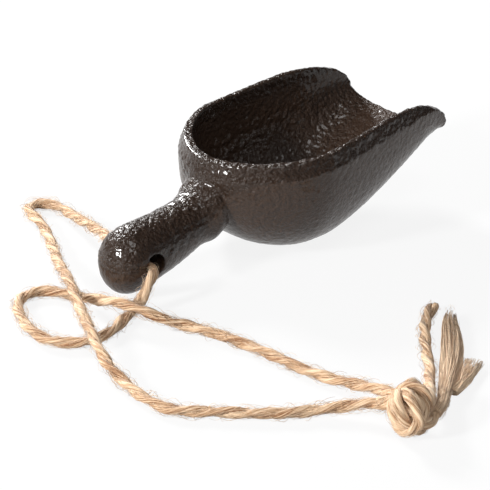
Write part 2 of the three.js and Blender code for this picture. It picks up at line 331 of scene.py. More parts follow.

# How rubbed to satin the iron is, and how strong the painted highlight along the hollow's valley is, with
# the places where a mark starts and the lengths over which it rises
WORN_BELOW = 0.75
VALLEY_PAINTED_SHEEN = 0.7
WORN_INSIDE = 0.12
BOWL_FROM_HANDLE = (-0.006, 0.016)
SEAM_EDGE = 0.0016
HOLLOW_FACING = (0.05, 0.3)
HOLLOW_FROM_BACK = (0.004, 0.004)
HOLLOW_UNDER_PARTING = (-0.002, 0.004)
VALLEY_FROM_BACK = (0.02, 0.03)
VALLEY_HALF_WIDTH = 0.0065

# The marks on the handle's end: where it is ground, with its streaks' rates, and its seam
GROUND_LENGTH = 0.0095
GROUND_EDGE = 0.003
GROUND_TOP = 0.0108
GROUND_DEPTH = 0.00007
GROUND_RATE = 5200
GROUND_WANDER = 2
GROUND_WANDER_RATE = 1900
GROUND_SMOOTHING = 0.8
END_SEAM_HEIGHT = 0.0112
END_SEAM_DEPTH = 0.00022
END_SEAM_HALF_WIDTH = 0.00045

# The photograph's view, in degrees, and where its camera stands
VIEW_AZIMUTH = 43.87
VIEW_ELEVATION = 26.8
CAMERA_PLACE = (-0.4262, -0.4383, 0.3065)

# The lamps: the setting that holds their power, their place and the side of their square
LAMPS = {
    "key_lamp": ("key_power", (0.15, 0.72, 0.42), 0.17),
    "side_lamp": ("side_power", (-0.85, 0.12, 0.42), 0.14),
    "fill_lamp": ("fill_power", (-0.25, -0.45, 0.95), 0.4),
}
FLOOR_WHITE = 0.87


class CastingSettings(bpy.types.PropertyGroup):
    """Sizes and finish of the iron casting."""

    handle_length: FloatProperty(
        name="Handle Length", description="Handle's end to the bowl's back", default=0.035, unit="LENGTH"
    )
    bowl_length: FloatProperty(
        name="Bowl Length", description="Bowl's back to the pouring lip", default=0.08, unit="LENGTH"
    )
    bowl_width: FloatProperty(
        name="Bowl Width", description="Widest, at the parting line", default=0.054, unit="LENGTH"
    )
    lip_width: FloatProperty(
        name="Lip Width", description="Width of the pouring lip", default=0.043, unit="LENGTH"
    )
    floor_thickness: FloatProperty(
        name="Floor Thickness", description="Iron under the hollow", default=0.003, unit="LENGTH"
    )
    hole_diameter: FloatProperty(
        name="Hole Diameter", description="Hanging hole in the handle", default=0.007, unit="LENGTH"
    )
    grain_height: FloatProperty(
        name="Cast Grain", description="Height of the sand-cast unevenness", default=0.00019, unit="LENGTH"
    )
    detail: FloatProperty(
        name="Detail", description="Size of the mesh's faces", default=0.00042, unit="LENGTH"
    )
    iron_colour: FloatVectorProperty(
        name="Iron",
        description="Colour of the seasoned iron",
        subtype="COLOR",
        default=(0.0036, 0.0019, 0.0013),
    )
    # This colour is also laid along the hollow's valley as a painted highlight
    worn_and_sheen_colour: FloatVectorProperty(
        name="Worn Iron",
        description="Colour of the satin, worn iron",
        subtype="COLOR",
        default=(0.038, 0.0205, 0.012),
    )


class TwineSettings(bpy.types.PropertyGroup):
    """Sizes and colours of the jute twine."""

    diameter: FloatProperty(
        name="Diameter", description="Across both plies", default=0.003, unit="LENGTH"
    )
    pitch: FloatProperty(
        name="Twist", description="Length of one full turn of the plies", default=0.0185, unit="LENGTH"
    )
    stray_per_metre: IntProperty(
        name="Stray Fibres", description="Loose fibres on each metre of twine", default=9000, min=0
    )
    # Partly the fibres' own darker tone, partly painted shade: it goes where the bump is lowest, between
    # the fibres
    dark_fibre_and_shade_colour: FloatVectorProperty(
        name="Dark Fibre",
        description="Colour between the fibres",
        subtype="COLOR",
        default=(0.23, 0.10, 0.04),
    )
    middle_colour: FloatVectorProperty(
        name="Brown Fibre",
        description="Colour of most of the fibres",
        subtype="COLOR",
        default=(0.56, 0.35, 0.2),
    )
    pale_colour: FloatVectorProperty(
        name="Pale Fibre",
        description="Colour of the palest fibres",
        subtype="COLOR",
        default=(0.80, 0.61, 0.42),
    )


class StageSettings(bpy.types.PropertyGroup):
    """Floor, lamps and camera."""

    floor_size: FloatProperty(
        name="Floor Size", description="Side of the square floor", default=4.0, unit="LENGTH"
    )
    key_power: FloatProperty(
        name="Key Lamp", description="Power of the lamp behind the scoop", default=11.0, unit="POWER"
    )
    side_power: FloatProperty(
        name="Side Lamp", description="Power of the lamp on the handle's side", default=10.0, unit="POWER"
    )
    fill_power: FloatProperty(
        name="Fill Lamp", description="Power of the soft lamp beside the camera", default=3.0, unit="POWER"
    )
    lens: FloatProperty(name="Lens", description="Focal length in millimetres", default=172.2, min=1.0)


# Lines


def smoothstep(value):
    """0 below 0, 1 above 1, and a smooth rise between them."""
    share = np.clip(value, 0.0, 1.0)
    return share * share * (3 - 2 * share)


def unit(vectors, least=1e-12):
    """The same directions at a length of 1."""
    return vectors / np.maximum(np.linalg.norm(vectors, axis=-1, keepdims=True), least)


def lengths_along(line):
    """The length of the line up to each of its points."""
    steps = np.linalg.norm(np.diff(line, axis=0), axis=1)
    return np.concatenate(([0.0], np.cumsum(steps)))


def even_line(line, step):
    """The same line with points every step."""
    along = lengths_along(line)
    count = max(3, int(round(along[-1] / step)) + 1)
    places = np.linspace(0.0, along[-1], count)
    return np.stack([np.interp(places, along, line[:, axis]) for axis in range(3)], axis=1)


def smooth_line(points, step, points_in_span=12):
    """A centripetal curve through the points, with points every step."""
    given = np.array(points, float)
    ends = np.vstack([2 * given[0] - given[1], given, 2 * given[-1] - given[-2]])
    made = []
    for a, b, c, d in zip(ends, ends[1:], ends[2:], ends[3:]):
        t0 = 0.0
        t1 = t0 + np.linalg.norm(b - a) ** 0.5
        t2 = t1 + np.linalg.norm(c - b) ** 0.5
        t3 = t2 + np.linalg.norm(d - c) ** 0.5
        t = np.linspace(t1, t2, points_in_span, endpoint=False)[:, None]
        ab = (t1 - t) / (t1 - t0) * a + (t - t0) / (t1 - t0) * b
        bc = (t2 - t) / (t2 - t1) * b + (t - t1) / (t2 - t1) * c
        cd = (t3 - t) / (t3 - t2) * c + (t - t2) / (t3 - t2) * d
        abc = (t2 - t) / (t2 - t0) * ab + (t - t0) / (t2 - t0) * bc
        bcd = (t3 - t) / (t3 - t1) * bc + (t - t1) / (t3 - t1) * cd
        made.append((t2 - t) / (t2 - t1) * abc + (t - t1) / (t2 - t1) * bcd)
    made.append(given[-1:])
    return even_line(np.vstack(made), step)


def from_hole(point):
    """A point that is counted from HOLE, in the scoop's own frame."""
    return np.add(point, HOLE)


def from_knot(across, away, up):
    """A point that is counted from the knot's middle in millimetres, in the scoop's own frame."""
    return from_hole(KNOT_MIDDLE) + 0.001 * (across * ACROSS + away * AWAY + up * UP)


def route(points, step):
    """The smooth line of a stretch of twine."""
    return smooth_line([from_hole(point) for point in points], step)


def frames_along(line):
    """Directions along, beside and above a line, turning as little as they can."""
    along = unit(np.gradient(line, axis=0))
    beside = np.zeros_like(line)
    current = np.cross(along[0], UP)
    # A line that starts upright
    if np.linalg.norm(current) < 1e-3:
        current = np.cross(along[0], ACROSS)
    for i, direction in enumerate(along):
        current = current - direction * np.dot(current, direction)
        current = current / np.linalg.norm(current)
        beside[i] = current
    return along, beside, np.cross(along, beside)


# Fibres and plies


class Tubes:
    """Collects tubes into one mesh, with each point's place on its fibres and its tint as attributes."""

    def __init__(self):
        self.points = []
        self.faces = []
        self.fibres = []
        self.tints = []
        self.count = 0

    def add(self, line, radius, sides, tint, ridges=0, twist=0.0, ridge_depth=0.0):
        """Adds a tube along the line. Its ridges turn round it by twist radians a metre."""
        _, beside, above = frames_along(line)
        places = lengths_along(line)
        angles = np.linspace(0.0, 2 * math.pi, sides, endpoint=False)
        turned = angles[None, :] + twist * places[:, None]
        radii = np.broadcast_to(np.asarray(radius, float), (len(line),))[:, None]
        wander = RIDGE_WANDER * np.sin(places * RIDGE_WANDER_RATE)[:, None]
        depth = 1 + ridge_depth * np.sin(ridges * turned + wander)
        across = np.cos(angles)[None, :, None] * beside[:, None, :]
        upward = np.sin(angles)[None, :, None] * above[:, None, :]
        rings = line[:, None, :] + (radii * depth)[:, :, None] * (across + upward)
        self.points.append(rings.reshape(-1, 3))
        stretched = places[:, None] * FIBRE_STRETCH + FIBRE_SHIFT * len(self.points)
        fibre = [np.broadcast_to(stretched, turned.shape), np.cos(turned), np.sin(turned)]
        self.fibres.append(np.stack(fibre, axis=-1).reshape(-1, 3))
        self.tints.append(np.full(len(line) * sides, tint))
        self.add_faces(len(line), sides)

    def add_faces(self, rings, sides):
        """Joins the rings that were added last, and closes both ends."""
        start = self.count
        for i in range(rings - 1):
            low = start + i * sides
            for k in range(sides):
                after = (k + 1) % sides
                self.faces.append((low + k, low + after, low + sides + after, low + sides + k))
        self.faces.append(tuple(start + k for k in reversed(range(sides))))
        last = start + (rings - 1) * sides
        self.faces.append(tuple(last + k for k in range(sides)))
        self.count += rings * sides

    def make(self, name, material):
        """The collected tubes as one object, none of them below the floor."""
        points = np.vstack(self.points)
        points[:, 2] = np.maximum(points[:, 2], FLOOR_GAP)
        mesh = bpy.data.meshes.new(name)
        mesh.from_pydata(points.tolist(), [], self.faces)
        fibre = mesh.attributes.new("fibre", "FLOAT_VECTOR", "POINT")
        fibre.data.foreach_set("vector", np.vstack(self.fibres).astype(np.float32).ravel())
        tint = mesh.attributes.new("tint", "FLOAT", "POINT")
        tint.data.foreach_set("value", np.concatenate(self.tints).astype(np.float32))
        mesh.shade_smooth()
        mesh.materials.append(material)
        made = bpy.data.objects.new(name, mesh)
        bpy.context.scene.collection.objects.link(made)
        return made


def add_twine(tubes, line, settings, turn=0.0, tints=(0.42, 0.62), lay=1.0):
    """Two plies twisted round a line, further apart where lay is over 1."""
    _, beside, above = frames_along(line)
    places = lengths_along(line)
    offset = settings.diameter * PLY_OFFSET * np.broadcast_to(lay, places.shape)
    for ply, tint in enumerate(tints):
        angle = turn + math.pi * ply - 2 * math.pi * places / settings.pitch
        wobble = PLY_WOBBLE * np.sin(places * PLY_WOBBLE_RATE + PLY_WOBBLE_SHIFT * ply)
        direction = np.cos(angle)[:, None] * beside + np.sin(angle)[:, None] * above
        ply_line = line + (offset + wobble)[:, None] * direction
        swell = 1 + sum(depth * np.sin(places * rate + shift * ply) for depth, rate, shift in PLY_SWELLS)
        tubes.add(ply_line, settings.diameter * PLY_RADIUS * swell, PLY_SIDES, tint, **PLY_FIBRES)


def add_strays(tubes, line, count, seed, radius=0.0014, reach=0.0017, longest=0.006):
    """Loose fibres that leave the twine's surface and lie back along it."""
    chance = random.Random(seed)
    _, beside, above = frames_along(line)
    spacing = lengths_along(line)[-1] / (len(line) - 1)
    share = np.linspace(0, 1, STRAY_POINTS)
    # Keeps a fibre's points apart where the line ends under it
    apart = share[:, None] * 0.00001 * UP
    for _ in range(count):
        length = chance.uniform(STRAY_SHORTEST, longest)
        steps = chance.choice((-1, 1)) * share * length / spacing
        places = np.clip(np.round(chance.randrange(len(line)) + steps), 0, len(line) - 1).astype(int)
        angles = chance.uniform(0, 2 * math.pi) + chance.uniform(-STRAY_TURN, STRAY_TURN) * share
        lift = reach * chance.random() ** STRAY_LOWNESS * np.sin(share * math.pi * chance.uniform(0.5, 1.0))
        away = (radius * (STRAY_START - STRAY_SINKING * share**2) + lift)[:, None]
        out = np.cos(angles)[:, None] * beside[places] + np.sin(angles)[:, None] * above[places]
        thick = chance.uniform(*STRAY_THICKNESS)
        radii = np.linspace(thick, thick * STRAY_TAPER, STRAY_POINTS)
        fibre = line[places] + away * out + apart
        tubes.add(fibre, radii, STRAY_SIDES, chance.uniform(*STRAY_TINTS))


def add_tuft(tubes, line, count, seed, spreads, thickness):
    """Fibres side by side along a line, spreading by the given half widths and ending raggedly."""
    chance = random.Random(seed)
    along, _, _ = frames_along(line)
    across = unit(np.cross(UP, along))
    share = np.linspace(0, 1, len(line))
    spread = np.interp(share, np.linspace(0, 1, len(spreads)), spreads)
    for _ in range(count):
        side = chance.uniform(-1, 1)
        height = chance.uniform(-1, 1) * math.sqrt(1 - side * side)
        last = max(6, int(len(line) * (1 - TUFT_SHORTENING * chance.random() ** TUFT_EVENNESS)))
        rate, start = chance.uniform(*TUFT_WAVE_RATES), chance.uniform(*TUFT_WAVE_STARTS)
        wave = TUFT_WAVE * np.sin(share * rate + start)
        offset = (spread * side + wave)[:, None] * across
        lifted = (thickness * height + 0.5 * wave)[:, None] * UP
        fibre = (line + offset + lifted)[:last:3]
        if len(fibre) < 3:
            continue
        thick = chance.uniform(*TUFT_THICKNESS)
        radii = np.linspace(thick, thick * TUFT_TAPER, len(fibre))
        tubes.add(fibre, radii, TUFT_SIDES, chance.uniform(*TUFT_TINTS))


# Materials


def new_material(name, roughness):
    material = bpy.data.materials.new(name)
    material.use_nodes = True
    nodes = material.node_tree.nodes
    shader = nodes["Principled BSDF"]
    shader.inputs["Roughness"].default_value = roughness
    return material, nodes, material.node_tree.links, shader


def add_node(nodes, kind, inputs=None, **values):
    node = nodes.new(kind)
    for key, value in values.items():
        setattr(node, key, value)
    for key, value in (inputs or {}).items():
        node.inputs[key].default_value = value
    return node


def scaled(nodes, links, value, factor, addend):
    """An output's value times factor, plus addend, which is a number or another node's output."""
    node = add_node(nodes, "ShaderNodeMath", {1: factor}, operation="MULTIPLY_ADD")
    links.new(value, node.inputs[0])
    if isinstance(addend, bpy.types.NodeSocket):
        links.new(addend, node.inputs[2])
    else:
        node.inputs[2].default_value = addend
    return node.outputs[0]


def ramp(nodes, stops):
    node = nodes.new("ShaderNodeValToRGB")
    elements = node.color_ramp.elements
    while len(elements) < len(stops):
        elements.new(0.5)
    for element, (place, colour) in zip(elements, stops):
        element.position = place
        element.color = (*colour, 1.0)
    return node


def jute_material(settings):
    """Jute: pale and brown fibres that run along each ply, with painted shade in the hollows between them,
    where the same streaks set the bump lowest.
    """
    material, nodes, links, shader = new_material("jute", 0.85)
    fibre = add_node(nodes, "ShaderNodeAttribute", attribute_name="fibre")
    tint = add_node(nodes, "ShaderNodeAttribute", attribute_name="tint")
    place = add_node(nodes, "ShaderNodeTexCoord")
    streaks = add_node(nodes, "ShaderNodeTexNoise", {"Scale": 2.1, "Detail": 6.0, "Roughness": 0.75})
    patches = add_node(nodes, "ShaderNodeTexNoise", {"Scale": 90.0, "Detail": 3.0})
    dark, brown, pale = settings.dark_fibre_and_shade_colour[:], settings.middle_colour[:], settings.pale_colour[:]
    shade = ramp(nodes, [(0.3, dark), (0.55, brown), (0.85, pale)])
    links.new(fibre.outputs["Vector"], streaks.inputs["Vector"])
    links.new(place.outputs["Object"], patches.inputs["Vector"])
    # The streaks also set the bump's height, so their dark end is painted shade in the bump's hollows
    streaked = scaled(nodes, links, streaks.outputs["Fac"], 3.4, -1.5)
    tinted = scaled(nodes, links, tint.outputs["Fac"], 0.34, streaked)
    patched = scaled(nodes, links, patches.outputs["Fac"], 0.42, tinted)
    links.new(patched, shade.inputs["Fac"])
    links.new(shade.outputs["Color"], shader.inputs["Base Color"])
    bump = add_node(nodes, "ShaderNodeBump", {"Strength": 0.6, "Distance": 0.00018})
    links.new(streaks.outputs["Fac"], bump.inputs["Height"])
    links.new(bump.outputs["Normal"], shader.inputs["Normal"])
    shader.inputs["Specular IOR Level"].default_value = 0.25
    shader.inputs["Sheen Weight"].default_value = 0.25
    shader.inputs["Sheen Roughness"].default_value = 0.5
    return material


def iron_material(settings):
    """Seasoned cast iron: dark brown under a thin gloss of oil, satin and browner where it is rubbed, and
    lighter brown in a painted highlight along the hollow's valley.
    """
    material, nodes, links, shader = new_material("cast_iron", 0.4)
    place = add_node(nodes, "ShaderNodeTexCoord")
    worn = add_node(nodes, "ShaderNodeAttribute", attribute_name="worn")
    coarse = add_node(nodes, "ShaderNodeTexNoise", {"Scale": 800.0, "Detail": 2.5, "Roughness": 0.5})
    fine = add_node(nodes, "ShaderNodeTexNoise", {"Scale": 2600.0, "Detail": 3.0, "Roughness": 0.6})
    pits = add_node(nodes, "ShaderNodeTexVoronoi", {"Scale": 1500.0})
    blotches = add_node(nodes, "ShaderNodeTexNoise", {"Scale": 95.0, "Detail": 5.0})
    for node in (coarse, fine, pits, blotches):
        links.new(place.outputs["Object"], node.inputs["Vector"])
    shade = ramp(nodes, [(0.0, settings.iron_colour[:]), (1.0, settings.worn_and_sheen_colour[:])])
    blotched = scaled(nodes, links, blotches.outputs["Fac"], 0.5, 0.39)
    # Lighter brown where the iron is rubbed to satin, and along the hollow's valley as a painted highlight
    browned_and_sheen = scaled(nodes, links, worn.outputs["Fac"], 0.85, blotched)
    links.new(browned_and_sheen, shade.inputs["Fac"])
    links.new(shade.outputs["Color"], shader.inputs["Base Color"])
    gloss = {"From Min": 0.3, "From Max": 0.7, "To Min": 0.2, "To Max": 0.4}
    glossy = add_node(nodes, "ShaderNodeMapRange", gloss)
    links.new(coarse.outputs["Fac"], glossy.inputs["Value"])
    satin = scaled(nodes, links, worn.outputs["Fac"], 0.24, glossy.outputs["Result"])
    links.new(satin, shader.inputs["Roughness"])
    grainy = scaled(nodes, links, fine.outputs["Fac"], 0.12, coarse.outputs["Fac"])
    pitted = scaled(nodes, links, pits.outputs["Distance"], 0.15, grainy)
    bump = add_node(nodes, "ShaderNodeBump", {"Strength": 1.0, "Distance": 0.0009})
    links.new(pitted, bump.inputs["Height"])
    links.new(bump.outputs["Normal"], shader.inputs["Normal"])
    shader.inputs["Specular IOR Level"].default_value = 0.2
    shader.inputs["Coat Weight"].default_value = 0.5
    shader.inputs["Coat Roughness"].default_value = 0.12
    return material


# The casting


def rounded(share, roundness):
    """From 0 at 0 to 1 at 1 along a quarter of a superellipse, steepest at its end."""
    return 1 - (1 - share**roundness) ** (1 / roundness)


class ScoopShape:
    """The bowl's outside and hollow and the handle, as rings of points along the scoop."""

    def __init__(self, sizes):
        self.sizes = sizes
        self.handle_end = CASTING_BOX[0][0]
        self.handle_reach = sizes.handle_length + INTO_BOWL
        self.start = self.handle_end + sizes.handle_length
        self.length = sizes.bowl_length
        self.end = self.start + self.length
        self.deepest = self.start + DEEPEST_FROM_BACK

    def side(self, x):
        """Half the bowl's width, narrowing to the lip."""
        share = np.clip((x - self.start - BACK_ROUNDING) / (self.length - BACK_ROUNDING), 0, 1)
        taper = (self.sizes.lip_width - self.sizes.bowl_width) / 2
        return self.sizes.bowl_width / 2 + taper * share**LIP_TAPER

    def keel(self, x, start, top, lowest):
        """The lowest line of the outside or the hollow, up to top at the back and up to the lip."""
        if x < self.deepest:
            share = min(1.0, max(0.0, (self.deepest - x) / (self.deepest - start)))
            return lowest + (top - lowest) * rounded(share, KEEL_ROUNDNESS)
        share = (x - self.deepest) / (self.end - self.deepest)
        return lowest + LIP_RISE * share**LIP_CURVE

    def parting(self, x):
        """Height of the mould's parting line."""
        return PARTING_HEIGHT + PARTING_RISE * (x - self.start)

    def rim(self, x):
        """Height of the rim, which falls at the corners of the lip."""
        share = min(1.0, max(0.0, (x - self.end + CORNER_LENGTH) / CORNER_LENGTH))
        fall = CORNER_DROP * rounded(share, CORNER_ROUNDNESS)
        return self.parting(x) + RIM_ABOVE_PARTING - fall

    def stations(self, inset, overshoot):
        """Places along the bowl and half its width there, this far in from the parting line."""
        made = []
        power = 2 / BACK_EXPONENT
        for angle in np.linspace(BACK_FIRST_ANGLE, math.pi / 2, BACK_STATIONS):
            x = self.start + inset + (BACK_ROUNDING - inset) * (1 - math.cos(angle) ** power)
            made.append((x, (self.side(x) - inset) * math.sin(angle) ** power))
        straight = self.length - BACK_ROUNDING + overshoot
        for share in np.linspace(0, 1, STRAIGHT_STATIONS)[1:]:
            x = self.start + BACK_ROUNDING + straight * share
            made.append((x, self.side(x) - inset))
        return made

    @staticmethod
    def belly(half, top, bottom, roundness):
        """One cross-section from edge to edge, under the edges' height."""
        angles = np.linspace(0, math.pi, BELLY_POINTS)
        across = np.abs(np.cos(angles)) ** (2 / roundness) * np.sign(np.cos(angles))
        down = np.abs(np.sin(angles)) ** (2 / roundness)
        return [(-half * a, top - (top - bottom) * d) for a, d in zip(across, down)]

    def outside(self):
        rings = []
        for (x, half), (rim_x, rim_half) in zip(self.stations(0, 0), self.stations(DRAFT, 0)):
            top = min(self.parting(x), self.rim(x) - RIM_LEDGE)
            bottom = self.keel(x, self.start, self.parting(self.start), 0) - BOWL_FLAT
            ring = [(rim_x, rim_half, self.rim(rim_x)), (rim_x, -rim_half, self.rim(rim_x))]
            ring += [(x, y, z) for y, z in self.belly(half, top, bottom, OUTSIDE_ROUNDNESS)]
            rings.append(ring)
        return rings

    def hollow(self):
        inset = DRAFT + RIM_BACK
        start = self.start + inset
        rings = []
        for x, half in self.stations(inset, OVERSHOOT):
            half += (RIM_BACK - RIM_SIDE) * float(smoothstep((x - start) / BACK_ROUNDING))
            share = min(1.0, max(0.0, (x - self.deepest) / (self.end - self.deepest)))
            thickness = self.sizes.floor_thickness + (LIP_THICKNESS - self.sizes.floor_thickness) * share
            top = self.rim(x)
            bottom = self.keel(x, start, self.rim(start), thickness)
            ring = [(x, half, top + OVERSHOOT), (x, -half, top + OVERSHOOT)]
            ring += [(x, y, z) for y, z in self.belly(half, top, bottom, HOLLOW_ROUNDNESS)]
            rings.append(ring)
        return rings

    def handle_middle(self, t):
        """Height of the handle's middle line, from its end at 0 to inside the bowl's wall at 1."""
        third = self.handle_reach / 3
        heights = (
            END_HEIGHT,
            END_HEIGHT + END_SLOPE * third,
            NECK_HEIGHT - NECK_SLOPE * third,
            NECK_HEIGHT,
        )
        weights = ((1 - t) ** 3, 3 * t * (1 - t) ** 2, 3 * t * t * (1 - t), t**3)
        return sum(w * h for w, h in zip(weights, heights))

    def handle(self):
        angles = np.linspace(0, 2 * math.pi, HANDLE_SIDES, endpoint=False)
        swell_start = self.sizes.handle_length - NECK_SWELL_LENGTH
        rings = []
        for share in np.linspace(0, 1, HANDLE_STATIONS):
            x = HANDLE_TIP + (self.handle_reach + INTO_BOWL) * share**HANDLE_CROWDING
            t = min(1.0, x / self.handle_reach)
            height = self.handle_middle(t) + NECK_SLOPE * max(0.0, x - self.handle_reach)
            dome = (1 - max(0.0, 1 - x / DOME_LENGTH) ** DOME_ROUNDNESS) ** (1 / DOME_ROUNDNESS)
            slim = float(smoothstep(t * SLIM_RATE - SLIM_DELAY))
            swell = NECK_SWELL * min(1.0, max(0.0, (x - swell_start) / NECK_SWELL_LENGTH)) ** 2
            wide, tall = (
                (end + (neck - end) * slim + swell) * dome
                for end, neck in zip(END_HALF_SIZES, NECK_HALF_SIZES)
            )
            place = self.handle_end + x
            rings.append([(place, wide * math.cos(a), height + tall * math.sin(a)) for a in angles])
        return rings

    def drill(self):
        """The hanging hole's round bar, right through the handle."""
        angles = np.linspace(0, 2 * math.pi, DRILL_SIDES, endpoint=False)
        radius = self.sizes.hole_diameter / 2
        return [
            [(HOLE[0] + radius * math.cos(a), y, HOLE_HEIGHT + radius * math.sin(a)) for a in angles]
            for y in (-DRILL_REACH, DRILL_REACH)
        ]


def loft(name, rings):
    """A closed object through the rings."""
    count = len(rings[0])
    faces = []
    for i in range(len(rings) - 1):
        for k in range(count):
            after = (k + 1) % count
            faces.append((i * count + k, i * count + after, (i + 1) * count + after, (i + 1) * count + k))
    faces.append(tuple(reversed(range(count))))
    faces.append(tuple((len(rings) - 1) * count + k for k in range(count)))
    mesh = bpy.data.meshes.new(name)
    mesh.from_pydata([point for ring in rings for point in ring], [], faces)
    made = bmesh.new()
    made.from_mesh(mesh)
    bmesh.ops.recalc_face_normals(made, faces=made.faces)
    made.to_mesh(mesh)
    made.free()
    helper = bpy.data.objects.new(name, mesh)
    bpy.context.scene.collection.objects.link(helper)
    return helper


def cut_with(target, tool, operation):
    modifier = target.modifiers.new(operation, "BOOLEAN")
    modifier.operation = operation
    modifier.solver = "EXACT"
    modifier.object = tool


def casting_mesh(shape):
    """The bowl and handle joined, hollowed and drilled, then rounded as sand leaves them."""
    body = loft("casting_outside", shape.outside())
    handle = loft("casting_handle", shape.handle())
    hollow = loft("casting_hollow", shape.hollow())
    drill = loft("casting_drill", shape.drill())
    cut_with(body, handle, "UNION")
    cut_with(body, hollow, "DIFFERENCE")
    cut_with(body, drill, "DIFFERENCE")
    remesh = body.modifiers.new("Even faces", "REMESH")
    remesh.mode = "VOXEL"
    remesh.voxel_size = shape.sizes.detail
    rounding = body.modifiers.new("Rounding", "SMOOTH")
    rounding.factor = 0.5
    rounding.iterations = 3
    bpy.context.view_layer.update()
    graph = bpy.context.evaluated_depsgraph_get()
    mesh = bpy.data.meshes.new_from_object(body.evaluated_get(graph))
    for helper in (body, handle, hollow, drill):
        bpy.data.objects.remove(helper)
    return mesh


def rise(value, span):
    """0 up to the span's start, and a smooth rise to 1 over its length."""
    start, length = span
    return smoothstep((value - start) / length)


def grain_at(point):
    """Height of the cast grain, about from -1 to 1."""
    return sum(share * noise.noise(Vector(point + shift) / size) for shift, size, share in GRAIN_LAYERS)


def wear_and_sheen_of(points, normals, shape):
    """How rubbed each point is, with a painted highlight along the hollow's valley added in, and how much
    of the grain it keeps.
    """
    x, y, z = points.T
    from_back = x - shape.start
    bowl = rise(from_back, BOWL_FROM_HANDLE)
    handle_share = np.clip((x - shape.handle_end) / shape.handle_reach, 0, 1)
    seam = shape.handle_middle(handle_share) * (1 - bowl) + shape.parting(x) * bowl
    under = smoothstep((seam - z) / SEAM_EDGE + 0.5)
    inside = rise(normals[:, 2], HOLLOW_FACING) * rise(from_back, HOLLOW_FROM_BACK)
    inside *= rise(shape.parting(x) - z, HOLLOW_UNDER_PARTING)
    # Painted highlight: a lighter band along the middle of the hollow's floor, where light falls on it
    valley = inside * np.exp(-((y / VALLEY_HALF_WIDTH) ** 2)) * rise(from_back, VALLEY_FROM_BACK)
    outside = under * (1 - inside)
    worn = np.clip(outside * WORN_BELOW + valley * VALLEY_PAINTED_SHEEN + inside * WORN_INSIDE, 0, 1)
    return worn, 1 - SMOOTHER_BELOW * outside


def handle_end_marks(points, shape):
    """How much of the handle's end each point is, whether it is ground there, and the marks' height."""
    x, y, z = points.T
    at_end = smoothstep((shape.handle_end + GROUND_LENGTH - x) / GROUND_EDGE)
    seam = -END_SEAM_DEPTH * np.exp(-(((z - END_SEAM_HEIGHT) / END_SEAM_HALF_WIDTH) ** 2))
    wander = GROUND_WANDER * np.sin(y * GROUND_WANDER_RATE)
    streaks = 0.5 + 0.5 * np.sin(y * GROUND_RATE + wander)
    ground = z < GROUND_TOP
    return at_end, ground, at_end * (seam - GROUND_DEPTH * streaks * ground)


def finish_casting(mesh, shape):
    """Raises the cast grain and the handle's marks, and marks where the iron is rubbed and where the
    painted valley highlight lies.
    """
    count = len(mesh.vertices)
    points = np.empty(count * 3)
    normals = np.empty(count * 3)
    mesh.vertices.foreach_get("co", points)
    mesh.vertices.foreach_get("normal", normals)
    points, normals = points.reshape(-1, 3), normals.reshape(-1, 3)
    worn, kept = wear_and_sheen_of(points, normals, shape)
    at_end, ground, marks = handle_end_marks(points, shape)
    heights = np.array([grain_at(point) for point in points])
    lifts = heights * kept * shape.sizes.grain_height * (1 - GROUND_SMOOTHING * at_end * ground)
    points = np.clip(points + normals * (lifts + marks)[:, None], *np.array(CASTING_BOX))
    mesh.vertices.foreach_set("co", points.ravel())
    # This attribute holds the rubbed satin and the painted valley highlight
    rubbed_and_sheen_attribute = mesh.attributes.new("worn", "FLOAT", "POINT")
    rubbed_and_sheen_attribute.data.foreach_set("value", worn.astype(np.float32))
    mesh.update()
    mesh.shade_smooth()


# Operators


class SCOOP_OT_camera(bpy.types.Operator):
    """Set up the camera at the height and distance of a table photograph"""

    bl_idname = "scoop.camera"
    bl_label = "Camera"

    def execute(self, context):
        camera = bpy.data.cameras.new("camera")
        camera.sensor_width = 36.0
        camera.lens = context.scene.scoop_stage.lens
        camera.clip_start, camera.clip_end = 0.01, 20.0
        made = bpy.data.objects.new("camera", camera)
        context.scene.collection.objects.link(made)
        azimuth, elevation = math.radians(VIEW_AZIMUTH), math.radians(VIEW_ELEVATION)
        level = math.cos(elevation)
        looking = Vector((math.sin(azimuth) * level, math.cos(azimuth) * level, -math.sin(elevation)))
        made.location = CAMERA_PLACE
        made.rotation_euler = looking.to_track_quat("-Z", "Y").to_euler()
        context.scene.camera = made
        return {"FINISHED"}


